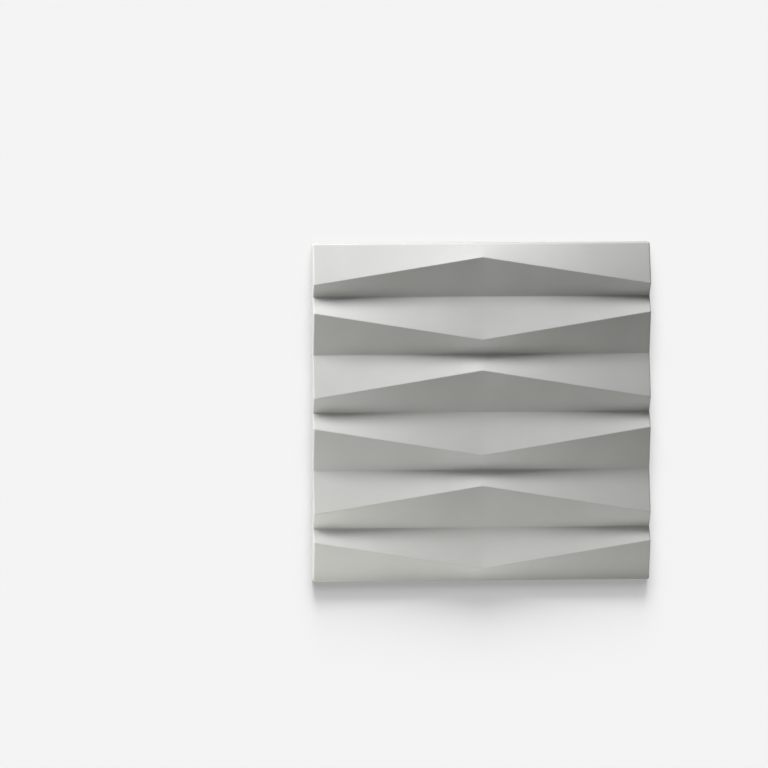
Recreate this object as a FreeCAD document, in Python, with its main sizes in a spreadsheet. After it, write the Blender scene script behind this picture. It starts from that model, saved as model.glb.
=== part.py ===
import FreeCAD, Part
import math
import os
import Sketcher

NAME = "wall_panel_tile"

# Rows of facets from the upper edge to the lower edge
ROWS = 6

# Driving sizes in millimetres
SIZES = [
    ("tile_width", 500, "width of the tile along a row"),
    ("tile_height", 500, "height of the tile across the rows"),
    ("valley_thickness", 17, "thickness at the valleys and along the upper and lower edge"),
    ("relief_height", 18, "height of a ridge above the valleys"),
    ("edge_row_height", 79, "height of the first and the last row"),
    ("ridge_near", 22.5, "distance of a ridge from its nearer valley, at the middle and at the sides"),
    ("edge_ridge_near", 19.5, "the same distance in the first and the last row"),
    ("arris_bevel", 1.5, "bevel along the front arrises"),
    ("corner_radius", 3, "rounding of the four corners"),
]

doc = FreeCAD.newDocument(NAME)

# Sheet of sizes
sheet = doc.addObject("Spreadsheet::Sheet", "sizes")
for line, (alias, value, note) in enumerate(SIZES, start=1):
    sheet.set(f"A{line}", note)
    sheet.set(f"B{line}", str(value))
    sheet.setAlias(f"B{line}", alias)
row_line = len(SIZES) + 1
sheet.set(f"A{row_line}", "height of a row between the first and the last")
sheet.set(f"B{row_line}", f"=(tile_height - 2 * edge_row_height) / {ROWS - 2}")
sheet.setAlias(f"B{row_line}", "row_height")
doc.recompute()

body = doc.addObject("PartDesign::Body", NAME)
body.Label = NAME
face_plane = next(item for item in body.Origin.OriginFeatures if item.Role == "XY_Plane")
cross_plane = next(item for item in body.Origin.OriginFeatures if item.Role == "YZ_Plane")


# Sketch on one of the body's own planes, pushed off it along its normal by an expression
def new_sketch(label, plane, offset):
    sketch = body.newObject("Sketcher::SketchObject", label)
    sketch.AttachmentSupport = [(plane, "")]
    sketch.MapMode = "FlatFace"
    if offset:
        sketch.setExpression("AttachmentOffset.Base.z", offset)
    return sketch


# Add the rules of a sketch, where each bound rule has a name and an expression of the sheet
def constrain(sketch, rules):
    sketch.addConstraint([rule for rule, _, _ in rules])
    for position, (_, name, expression) in enumerate(rules):
        if name:
            sketch.renameConstraint(position, name)
            sketch.setExpression(f"Constraints.{name}", expression)


def number(expression):
    return float(sheet.evalExpression(expression))


# Outline of the tile seen from the front: a rectangle about the origin with rounded corners
def outline():
    sketch = new_sketch("outline", face_plane, None)
    x = number("sizes.tile_width / 2")
    y = number("sizes.tile_height / 2")
    r = number("sizes.corner_radius")
    signs = [(1, 1), (-1, 1), (-1, -1), (1, -1)]
    up = FreeCAD.Vector(0, 0, 1)
    rules = []
    sides = []
    rounds = []
    for turn, (sx, sy) in enumerate(signs):
        centre = FreeCAD.Vector(sx * (x - r), sy * (y - r), 0)
        start = math.pi / 2 * turn
        rounds.append(Part.ArcOfCircle(Part.Circle(centre, up, r), start, start + math.pi / 2))
    for turn in range(4):
        sides.append(Part.LineSegment(rounds[turn].EndPoint, rounds[(turn + 1) % 4].StartPoint))
    sketch.addGeometry(sides + rounds)
    for turn in range(4):
        rules.append((Sketcher.Constraint("Tangent", turn, 1, 4 + turn, 2), None, None))
        rules.append((Sketcher.Constraint("Tangent", turn, 2, 4 + (turn + 1) % 4, 1), None, None))
        rules.append((Sketcher.Constraint("Horizontal" if turn % 2 == 0 else "Vertical", turn), None, None))
    for turn in range(1, 4):
        rules.append((Sketcher.Constraint("Equal", 4, 4 + turn), None, None))
    rules.append((Sketcher.Constraint("Radius", 4, r), "corner", "sizes.corner_radius"))
    rules.append((Sketcher.Constraint("DistanceY", -1, 1, 0, 1, y), "upper", "sizes.tile_height / 2"))
    rules.append((Sketcher.Constraint("DistanceY", 2, 1, -1, 1, y), "lower", "sizes.tile_height / 2"))
    rules.append((Sketcher.Constraint("DistanceX", 1, 1, -1, 1, x), "left", "sizes.tile_width / 2"))
    rules.append((Sketcher.Constraint("DistanceX", -1, 1, 3, 1, x), "right", "sizes.tile_width / 2"))
    constrain(sketch, rules)
    return sketch


# Place of a valley between rows, counted from the upper edge, or of the upper and lower edge themselves
def valley(index):
    if index == 0:
        return "sizes.tile_height / 2"
    if index == ROWS:
        return "-sizes.tile_height / 2"
    return f"sizes.tile_height / 2 - sizes.edge_row_height - {index - 1} * sizes.row_height"


# Place of the ridge in a row: odd rows point up at the middle and even rows point down there
def ridge(row, at_middle):
    near = "sizes.edge_ridge_near" if row in (1, ROWS) else "sizes.ridge_near"
    close_to_upper = (row % 2 == 1) == at_middle
    return f"{valley(row - 1)} - {near}" if close_to_upper else f"{valley(row)} + {near}"


# Corners of what is cut away above the front, from the upper bevel along the zigzag to the lower bevel
def cut_corners(drop, at_middle):
    low = f"sizes.valley_thickness - {drop}"
    high = f"sizes.valley_thickness + sizes.relief_height - {drop}"
    past_bevel = f"{low} - 2 * sizes.arris_bevel"
    above = "sizes.valley_thickness + 3 * sizes.relief_height"
    beyond_upper = f"{valley(0)} + sizes.arris_bevel"
    beyond_lower = f"{valley(ROWS)} - sizes.arris_bevel"
    corners = [("beyond_upper", beyond_upper, past_bevel)]
    corners.append(("upper_edge", f"{valley(0)} - sizes.arris_bevel", low))
    for row in range(1, ROWS + 1):
        corners.append((f"ridge_{row}", ridge(row, at_middle), high))
        if row < ROWS:
            corners.append((f"valley_{row}", valley(row), low))
    corners.append(("lower_edge", f"{valley(ROWS)} + sizes.arris_bevel", low))
    corners.append(("beyond_lower", beyond_lower, past_bevel))
    corners.append(("above_lower", beyond_lower, above))
    corners.append(("above_upper", beyond_upper, above))
    return corners


# One cross section of what is cut away, each corner held by its place across the rows and its height
def section(label, offset, drop, at_middle):
    sketch = new_sketch(label, cross_plane, offset)
    corners = cut_corners(drop, at_middle)
    points = [FreeCAD.Vector(number(place), number(height), 0) for _, place, height in corners]
    count = len(points)
    sketch.addGeometry([Part.LineSegment(points[i], points[(i + 1) % count]) for i in range(count)])
    rules = []
    for i, (name, place, height) in enumerate(corners):
        rules.append((Sketcher.Constraint("Coincident", (i - 1) % count, 2, i, 1), None, None))
        rules.append((Sketcher.Constraint("DistanceX", -1, 1, i, 1, points[i].x), f"{name}_place", place))
        rules.append((Sketcher.Constraint("DistanceY", -1, 1, i, 1, points[i].y), f"{name}_height", height))
    constrain(sketch, rules)
    return sketch


# Block with a flat back, taller than the ridges
block = body.newObject("PartDesign::Pad", "block")
block.Profile = outline()
block.setExpression("Length", "sizes.valley_thickness + 2 * sizes.relief_height")
doc.recompute()

# Relief of the front: straight rulings join the sections, so ridges run straight and the facets twist.
# Past each side the section drops by as much as it moves out, which bevels the side arris.
none = "0 * sizes.arris_bevel"
twice = "2 * sizes.arris_bevel"
beyond = "(sizes.tile_width / 2 + sizes.arris_bevel)"
shoulder = "(sizes.tile_width / 2 - sizes.arris_bevel)"
sections = [
    section("left_beyond", f"-{beyond}", twice, False),
    section("left_shoulder", f"-{shoulder}", none, False),
    section("middle", none, none, True),
    section("right_shoulder", shoulder, none, False),
    section("right_beyond", beyond, twice, False),
]
relief = body.newObject("PartDesign::SubtractiveLoft", "relief")
relief.Profile = sections[0]
relief.Sections = sections[1:]
relief.Ruled = True
relief.Refine = True
doc.recompute()

for item in doc.Objects:
    if "Invalid" in item.State or "Error" in item.State:
        raise RuntimeError(f"{item.Name} did not build: {item.State}")
shape = body.Shape
if shape.isNull() or not shape.isValid() or len(shape.Solids) != 1:
    raise RuntimeError(f"{NAME} is not one valid solid")

os.makedirs("parts", exist_ok=True)
shape.exportStep(f"parts/{NAME}.step")
bounds = shape.optimalBoundingBox()
print(NAME, "faces", len(shape.Faces), "volume", round(shape.Volume), "mm3")
print("size", round(bounds.XLength, 3), round(bounds.YLength, 3), round(bounds.ZLength, 3))
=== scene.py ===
import math

import bmesh
import bpy
from mathutils import Matrix, Vector


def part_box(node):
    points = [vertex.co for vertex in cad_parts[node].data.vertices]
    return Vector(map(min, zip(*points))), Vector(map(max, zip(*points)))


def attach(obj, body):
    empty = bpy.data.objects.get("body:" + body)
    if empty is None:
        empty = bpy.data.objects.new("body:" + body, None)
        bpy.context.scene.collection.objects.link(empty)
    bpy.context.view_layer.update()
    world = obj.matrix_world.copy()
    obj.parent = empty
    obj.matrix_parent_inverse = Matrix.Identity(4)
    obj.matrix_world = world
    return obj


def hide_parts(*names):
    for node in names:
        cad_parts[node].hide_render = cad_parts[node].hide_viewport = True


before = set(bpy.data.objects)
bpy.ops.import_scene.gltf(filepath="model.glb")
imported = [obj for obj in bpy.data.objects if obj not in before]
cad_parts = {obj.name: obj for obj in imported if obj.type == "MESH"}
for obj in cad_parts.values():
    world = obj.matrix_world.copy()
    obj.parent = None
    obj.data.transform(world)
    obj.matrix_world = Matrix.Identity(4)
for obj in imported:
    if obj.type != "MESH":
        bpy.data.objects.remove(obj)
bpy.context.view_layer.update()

# Sizes of the tile in metres: the box comes from the part's mesh, the relief repeats the part's own
# sizes
TILE = "wall_panel_tile"
tile_low, tile_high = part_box(TILE)
HALF_WIDTH = (tile_high.x - tile_low.x) / 2
HALF_HEIGHT = (tile_high.y - tile_low.y) / 2
RIDGE_Z = tile_high.z
VALLEY_Z = 0.017
ROWS = 6
EDGE_ROW = 0.079
RIDGE_NEAR = 0.0225
EDGE_RIDGE_NEAR = 0.0195
BEVEL = 0.0015

# Softness that the mould leaves: reach of each rounding from the sharp line, to both sides
ARRIS_REACH = 1.3 * BEVEL
CORNER_REACH = 0.003
RIDGE_REACH = 0.0007
VALLEY_REACH = 0.0009
BACK_REACH = 0.0005

# Fineness of the mesh
ARRIS_STEPS = 6
CORNER_STEPS = 8
LINE_STEPS = 4
FACET_STEPS = 9
HALF_COLUMNS = 40

# Places of the lines that hold the roundings: in reaches along a facet, and in shares of a wall
SUPPORT = 1.6
WALL_SUPPORT = 0.85

# Camera: turned and tilted off the tile's normal, with the tile's middle at a place in the photograph
FRAME_PX = 768
TILE_MIDDLE_PX = (481.4, 412.0)
PIXELS_PER_METRE = 677.0
CAMERA_TURN = math.radians(5.4)
CAMERA_TILT = math.radians(4.5)
CAMERA_DISTANCE = 15.0
SENSOR_MM = 36.0

# Plaster: linear colours of its deeper and paler clouds, with the noise values where each is full
PLASTER_DEEP = (0.752, 0.756, 0.737, 1.0)
PLASTER_PALE = (0.788, 0.792, 0.774, 1.0)
DEEP_FROM = 0.32
PALE_FROM = 0.68

# Plaster: noise of its clouds, its fine grain and the slow swells of the mould
CLOUDS = {"Scale": 14.0, "Detail": 5.0, "Roughness": 0.55}
GRAIN = {"Scale": 1300.0, "Detail": 3.0, "Roughness": 0.6}
SWELLS = {"Scale": 55.0, "Detail": 2.0, "Roughness": 0.5}

# Plaster: span of noise values in which the grain and the finish change, and what they change to
NOISE_SPAN = (0.3, 0.7)
GRAIN_TONE = (0.975, 1.0)
MATT_ROUGHNESS = (0.88, 0.76)
PLASTER_SPECULAR = 0.3

# Pin holes: their cells, inner and outer end of a hole in its cell, value above which a cell has one,
# and how much painted shade darkens them in the base colour
HOLE_CELLS = {"Scale": 150.0, "Randomness": 1.0}
HOLE_RIM = (0.03, 0.07)
HOLE_CHOICE = 0.84
HOLE_PAINTED_SHADE = 0.3

# Relief of the surface: strength and depth of each bump
SWELL_BUMP = {"Strength": 0.25, "Distance": 0.0004}
GRAIN_BUMP = {"Strength": 0.12, "Distance": 0.0002}
HOLE_BUMP = {"Strength": 0.6, "Distance": 0.0004}

# Soft boxes: name, azimuth, elevation, distance, width, height, power, colour
SOFT_BOXES = [
    ("key", 40.0, 10.5, 1.48, 0.57, 0.37, 6.4, (1.0, 0.997, 1.0)),
    ("top", 8.0, 18.0, 1.3, 0.7, 0.4, 9.0, (1.0, 0.997, 0.995)),
    ("left", 60.0, 10.0, 1.3, 0.7, 0.4, 6.2, (1.0, 0.997, 1.0)),
    ("high", 80.0, 40.0, 1.3, 0.7, 0.4, 0.75, (1.0, 0.997, 0.995)),
    ("fill", 176.0, 22.5, 0.94, 0.86, 0.31, 1.46, (0.993, 1.0, 0.95)),
    ("side", 123.0, 11.2, 0.54, 0.78, 0.2, 0.69, (0.993, 1.0, 0.95)),
    ("right", 270.0, 4.0, 0.9, 0.5, 0.1, 1.0, (1.0, 1.0, 0.97)),
]

# Soft box that stands upright at the lower edge: name, x of its middle, gap to the tile,
# height of its foot, width, height, power, colour
EDGE_BOX = ("edge", -0.1, 0.005, 0.035, 0.9, 0.4, 0.47, (0.993, 1.0, 0.95))

# Floor, its light and the background
FLOOR_HALF = 6.0
FLOOR_GAP = 0.0003
FLOOR_COLOUR = (0.06, 0.06, 0.06, 1.0)
FLOOR_GLOW = 0.348
WORLD_LIGHT = 0.02
BACKGROUND = 0.905

# Soft suns that light only the floor: name, azimuth, elevation, spread, power
SUN_DISTANCE = 2.0
FLOOR_SUNS = [
    ("floor_low", 2.0, 22.0, 24.0, 44.6),
    ("floor_high", 2.0, 38.0, 60.0, 19.8),
]


# Sharp cross section of the front at x: (y, z) of each ridge and valley, from the upper edge down
def sharp_profile(x, drop, draw):
    row_height = (2 * HALF_HEIGHT - 2 * EDGE_ROW) / (ROWS - 2)
    valleys = [HALF_HEIGHT - EDGE_ROW - row_height * index for index in range(ROWS - 1)]
    levels = [HALF_HEIGHT] + valleys + [-HALF_HEIGHT]
    share = max(0.0, 1.0 - abs(x) / (HALF_WIDTH - BEVEL))
    lines = [(HALF_HEIGHT - draw, VALLEY_Z - drop)]
    for row in range(ROWS):
        near = EDGE_RIDGE_NEAR if row in (0, ROWS - 1) else RIDGE_NEAR
        middle = levels[row] - near
        side = levels[row + 1] + near
        if row % 2 == 1:
            middle, side = side, middle
        lines.append((side + (middle - side) * share, RIDGE_Z - drop))
        lines.append((levels[row + 1], VALLEY_Z - drop))
    lines[-1] = (-HALF_HEIGHT + draw, VALLEY_Z - drop)
    return lines


# Points of a quadratic curve from start to end that leaves both towards the corner
def soft_corner(start, corner, end, steps):
    points = []
    for step in range(steps + 1):
        t = step / steps
        a, b, c = (1 - t) ** 2, 2 * t * (1 - t), t ** 2
        points.append(tuple(a * p + b * q + c * r for p, q, r in zip(start, corner, end)))
    return points


# Point at a distance from one end of a straight line towards the other, measured across the rows
def along(start, end, reach):
    share = reach / abs(end[0] - start[0])
    return tuple(p + (q - p) * share for p, q in zip(start, end))


# Closed cross section of the tile: up the upper wall, along the soft front and down the lower wall
def section(x, drop, draw):
    lines = sharp_profile(x, drop, draw)
    reaches = [ARRIS_REACH] + [RIDGE_REACH, VALLEY_REACH] * (ROWS - 1) + [RIDGE_REACH, ARRIS_REACH]
    upper, lower = lines[0], lines[-1]
    wall_top = upper[1] - ARRIS_REACH
    wall_support = wall_top * WALL_SUPPORT
    loop = [(upper[0] - BACK_REACH, 0.0), (upper[0], BACK_REACH), (upper[0], wall_support)]
    after_arris = along(upper, lines[1], ARRIS_REACH)
    loop += soft_corner((upper[0], wall_top), upper, after_arris, ARRIS_STEPS)
    for index in range(len(lines) - 1):
        start, end = lines[index], lines[index + 1]
        first = along(start, end, reaches[index] * SUPPORT)
        last = along(end, start, reaches[index + 1] * SUPPORT)
        for step in range(FACET_STEPS + 1):
            t = step / FACET_STEPS
            loop.append(tuple(p + (q - p) * t for p, q in zip(first, last)))
        if index + 2 < len(lines):
            reach = reaches[index + 1]
            before = along(end, start, reach)
            after = along(end, lines[index + 2], reach)
            loop += soft_corner(before, end, after, LINE_STEPS)
    before_arris = along(lower, lines[-2], ARRIS_REACH)
    loop += soft_corner(before_arris, lower, (lower[0], wall_top), ARRIS_STEPS)
    loop += [(lower[0], wall_support), (lower[0], BACK_REACH), (lower[0] + BACK_REACH, 0.0)]
    return loop


# How far a rounding has come in from its sharp corner, at a distance off the side
def rounded(off, reach):
    return reach * (1 - math.sqrt(min(1.0, off / reach))) ** 2


# Columns of the mesh from the left side to the right: x, how far the front drops there for the
# side arris, and how far the upper and lower wall draw in for the rounded corners
def columns():
    left = []
    for step in range(CORNER_STEPS + 1):
        off = CORNER_REACH * (step / CORNER_STEPS) ** 2
        left.append((-HALF_WIDTH + off, rounded(off, ARRIS_REACH), rounded(off, CORNER_REACH)))
    start = -HALF_WIDTH + CORNER_REACH * SUPPORT
    for step in range(HALF_COLUMNS):
        left.append((start * (1 - step / HALF_COLUMNS), 0.0, 0.0))
    return left + [(0.0, 0.0, 0.0)] + [(-x, drop, draw) for x, drop, draw in reversed(left)]


# The cast tile as one closed mesh, smooth on the relief and flat on its back and side walls
def cast_tile():
    rows = [[(x, y, z) for y, z in section(x, drop, draw)] for x, drop, draw in columns()]
    count = len(rows[0])
    points = [point for row in rows for point in row]
    faces = []
    flat = set()
    for column in range(len(rows) - 1):
        here = column * count
        there = here + count
        for index in range(count):
            after = (index + 1) % count
            if after == 0:
                flat.add(len(faces))
            faces.append((here + index, here + after, there + after, there + index))
    last = (len(rows) - 1) * count
    for face in (tuple(reversed(range(count))), tuple(range(last, last + count))):
        flat.add(len(faces))
        faces.append(face)
    mesh = bpy.data.meshes.new("cast_tile")
    mesh.from_pydata(points, [], faces)
    mesh.validate()
    for polygon in mesh.polygons:
        polygon.use_smooth = polygon.index not in flat
    shape = bmesh.new()
    shape.from_mesh(mesh)
    side_walls = [face for face in shape.faces if len(face.verts) > 4]
    bmesh.ops.triangulate(shape, faces=side_walls, ngon_method="BEAUTY")
    shape.to_mesh(mesh)
    shape.free()
    tile = bpy.data.objects.new("cast_tile", mesh)
    bpy.context.scene.collection.objects.link(tile)
    return tile


# Small helper that adds a node and sets its inputs by name
def add_node(tree, kind, inputs=None, **settings):
    node = tree.nodes.new(kind)
    for name, value in settings.items():
        setattr(node, name, value)
    for name, value in (inputs or {}).items():
        node.inputs[name].default_value = value
    return node


# Node that carries one span of values over to another
def map_range(tree, source, result):
    spans = {"From Min": source[0], "From Max": source[1], "To Min": result[0], "To Max": result[1]}
    return add_node(tree, "ShaderNodeMapRange", spans)


# Cast plaster: off-white and matt, faintly cloudy, with a fine grain and a few pin holes
def plaster_material():
    material = bpy.data.materials.new("cast_plaster")
    material.use_nodes = True
    tree = material.node_tree
    link = tree.links.new
    shader = tree.nodes["Principled BSDF"]
    shader.inputs["Specular IOR Level"].default_value = PLASTER_SPECULAR
    place = add_node(tree, "ShaderNodeTexCoord").outputs["Object"]
    cloud = add_node(tree, "ShaderNodeTexNoise", CLOUDS)
    grain = add_node(tree, "ShaderNodeTexNoise", GRAIN)
    swell = add_node(tree, "ShaderNodeTexNoise", SWELLS)
    cells = add_node(tree, "ShaderNodeTexVoronoi", HOLE_CELLS)
    for texture in (cloud, grain, swell, cells):
        link(place, texture.inputs["Vector"])

    # Pin holes: the middle of about one cell in six
    middle = map_range(tree, HOLE_RIM, (1.0, 0.0))
    chosen = add_node(tree, "ShaderNodeMath", {1: HOLE_CHOICE}, operation="GREATER_THAN")
    pin_hole = add_node(tree, "ShaderNodeMath", operation="MULTIPLY")
    link(cells.outputs["Distance"], middle.inputs["Value"])
    link(cells.outputs["Color"], chosen.inputs[0])
    link(middle.outputs["Result"], pin_hole.inputs[0])
    link(chosen.outputs["Value"], pin_hole.inputs[1])

    # Colour: soft clouds, a trace of grain, and painted shade that darkens the pin holes
    tone = add_node(tree, "ShaderNodeValToRGB")
    tone.color_ramp.elements[0].position = DEEP_FROM
    tone.color_ramp.elements[0].color = PLASTER_DEEP
    tone.color_ramp.elements[1].position = PALE_FROM
    tone.color_ramp.elements[1].color = PLASTER_PALE
    speckle = map_range(tree, NOISE_SPAN, GRAIN_TONE)
    # Painted shade: the base colour is made darker inside the pin holes
    hole_painted_shade = add_node(tree, "ShaderNodeMath", {1: -HOLE_PAINTED_SHADE, 2: 1.0}, operation="MULTIPLY_ADD")
    strength = add_node(tree, "ShaderNodeMath", operation="MULTIPLY")
    colour = add_node(tree, "ShaderNodeVectorMath", operation="SCALE")
    link(cloud.outputs["Fac"], tone.inputs["Fac"])
    link(grain.outputs["Fac"], speckle.inputs["Value"])
    link(pin_hole.outputs["Value"], hole_painted_shade.inputs[0])
    link(speckle.outputs["Result"], strength.inputs[0])
    link(hole_painted_shade.outputs["Value"], strength.inputs[1])
    link(tone.outputs["Color"], colour.inputs["Vector"])
    link(strength.outputs["Value"], colour.inputs["Scale"])
    link(colour.outputs["Vector"], shader.inputs["Base Color"])

    # Finish: matt, a little smoother where the clouds are pale
    finish = map_range(tree, NOISE_SPAN, MATT_ROUGHNESS)
    link(cloud.outputs["Fac"], finish.inputs["Value"])
    link(finish.outputs["Result"], shader.inputs["Roughness"])

    # Relief of the surface: slow swells of the mould, fine grain, and the pin holes
    swell_bump = add_node(tree, "ShaderNodeBump", SWELL_BUMP)
    grain_bump = add_node(tree, "ShaderNodeBump", GRAIN_BUMP)
    hole_bump = add_node(tree, "ShaderNodeBump", HOLE_BUMP, invert=True)
    link(swell.outputs["Fac"], swell_bump.inputs["Height"])
    link(grain.outputs["Fac"], grain_bump.inputs["Height"])
    link(pin_hole.outputs["Value"], hole_bump.inputs["Height"])
    link(swell_bump.outputs["Normal"], grain_bump.inputs["Normal"])
    link(grain_bump.outputs["Normal"], hole_bump.inputs["Normal"])
    link(hole_bump.outputs["Normal"], shader.inputs["Normal"])
    return material


# Pale floor under the tile, which shows its shadow and throws no light back on it.
# Its own glow is the part of its brightness that no shadow takes away.
def floor():
    mesh = bpy.data.meshes.new("floor")
    corners = [(-FLOOR_HALF, -FLOOR_HALF, 0), (FLOOR_HALF, -FLOOR_HALF, 0)]
    corners += [(FLOOR_HALF, FLOOR_HALF, 0), (-FLOOR_HALF, FLOOR_HALF, 0)]
    mesh.from_pydata(corners, [], [(0, 1, 2, 3)])
    plane = bpy.data.objects.new("floor", mesh)
    plane.location.z = -FLOOR_GAP
    bpy.context.scene.collection.objects.link(plane)
    material = bpy.data.materials.new("floor")
    material.use_nodes = True
    tree = material.node_tree
    shader = tree.nodes["Principled BSDF"]
    shader.inputs["Base Color"].default_value = FLOOR_COLOUR
    shader.inputs["Roughness"].default_value = 1.0
    shader.inputs["Specular IOR Level"].default_value = 0.0
    shader.inputs["Emission Color"].default_value = (1.0, 1.0, 1.0, 1.0)
    shader.inputs["Emission Strength"].default_value = FLOOR_GLOW
    only_seen = add_node(tree, "ShaderNodeMixShader")
    tree.links.new(seen_rays(tree), only_seen.inputs["Fac"])
    tree.links.new(shader.outputs["BSDF"], only_seen.inputs[2])
    tree.links.new(only_seen.outputs["Shader"], tree.nodes["Material Output"].inputs["Surface"])
    mesh.materials.append(material)
    return plane


# Value of 1 for rays that show a thing to the camera, straight or in a reflection, and 0 for light
def seen_rays(tree):
    path = add_node(tree, "ShaderNodeLightPath")
    either = add_node(tree, "ShaderNodeMath", operation="MAXIMUM")
    seen = add_node(tree, "ShaderNodeMath", operation="MAXIMUM")
    tree.links.new(path.outputs["Is Camera Ray"], either.inputs[0])
    tree.links.new(path.outputs["Is Glossy Ray"], either.inputs[1])
    tree.links.new(either.outputs["Value"], seen.inputs[0])
    tree.links.new(path.outputs["Is Transmission Ray"], seen.inputs[1])
    return seen.outputs["Value"]


# Direction from the tile to a light: azimuth from the upper edge to the left, elevation from the floor
def towards(azimuth, elevation):
    turn = math.radians(azimuth)
    rise = math.radians(elevation)
    level = math.cos(rise)
    return Vector((-math.sin(turn) * level, math.cos(turn) * level, math.sin(rise)))


# Collection of the things that a light falls on
def lit_by(name, thing):
    collection = bpy.data.collections.new(name)
    collection.objects.link(thing)
    return collection


# Light at a place, which faces along a direction and falls on its receivers alone
def place_light(name, data, place, facing, receivers):
    lamp = bpy.data.objects.new(name, data)
    lamp.location = place
    lamp.rotation_euler = facing.to_track_quat("-Z", "Y").to_euler()
    lamp.light_linking.receiver_collection = receivers
    bpy.context.scene.collection.objects.link(lamp)


# Soft box as a rectangular area light
def soft_box(name, width, height, power, colour):
    data = bpy.data.lights.new(name, "AREA")
    data.shape = "RECTANGLE"
    data.size = width
    data.size_y = height
    data.energy = power
    data.color = colour
    return data


# Studio light: soft boxes for the tile, and soft suns that draw the tile's shadow on the floor
def light(tile, plane):
    for_tile = lit_by("for_tile", tile)
    for name, azimuth, elevation, distance, width, height, power, colour in SOFT_BOXES:
        to_light = towards(azimuth, elevation)
        data = soft_box(name, width, height, power, colour)
        place_light(name, data, to_light * distance, -to_light, for_tile)
    name, x, gap, foot, width, height, power, colour = EDGE_BOX
    place = Vector((x, -HALF_HEIGHT - gap, foot + height / 2))
    data = soft_box(name, width, height, power, colour)
    place_light(name, data, place, Vector((0.0, 1.0, 0.0)), for_tile)
    for_floor = lit_by("for_floor", plane)
    for name, azimuth, elevation, spread, power in FLOOR_SUNS:
        data = bpy.data.lights.new(name, "SUN")
        data.angle = math.radians(spread)
        data.energy = power
        to_light = towards(azimuth, elevation)
        place_light(name, data, to_light * SUN_DISTANCE, -to_light, for_floor)
    world = bpy.data.worlds.new("studio")
    world.use_nodes = True
    tree = world.node_tree
    background = tree.nodes["Background"]
    background.inputs["Color"].default_value = (1.0, 1.0, 1.0, 1.0)
    strength = add_node(tree, "ShaderNodeMapRange", {"To Min": WORLD_LIGHT, "To Max": BACKGROUND})
    tree.links.new(seen_rays(tree), strength.inputs["Value"])
    tree.links.new(strength.outputs["Result"], background.inputs["Strength"])
    bpy.context.scene.world = world


# Camera far off with a long lens, looking down on the tile, with the tile's middle at its place
def camera():
    turn = Matrix.Rotation(CAMERA_TURN, 3, "Y")
    tilt = Matrix.Rotation(CAMERA_TILT, 3, "X")
    to_camera = (tilt @ turn).transposed()
    right, up, back = (to_camera @ Vector(axis) for axis in ((1, 0, 0), (0, 1, 0), (0, 0, 1)))
    off_right = (TILE_MIDDLE_PX[0] - FRAME_PX / 2) / PIXELS_PER_METRE
    off_down = (TILE_MIDDLE_PX[1] - FRAME_PX / 2) / PIXELS_PER_METRE
    middle = Vector((0.0, 0.0, VALLEY_Z))
    data = bpy.data.cameras.new("camera")
    data.sensor_width = SENSOR_MM
    data.lens = SENSOR_MM * PIXELS_PER_METRE * CAMERA_DISTANCE / FRAME_PX
    camera_object = bpy.data.objects.new("camera", data)
    place = middle + back * CAMERA_DISTANCE - right * off_right + up * off_down
    camera_object.matrix_world = Matrix.Translation(place) @ to_camera.to_4x4()
    bpy.context.scene.collection.objects.link(camera_object)
    bpy.context.scene.camera = camera_object


tile = cast_tile()
tile.data.materials.append(plaster_material())
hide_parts(TILE)
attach(tile, "root")
light(tile, floor())
camera()
bpy.context.scene.view_settings.view_transform = "Standard"
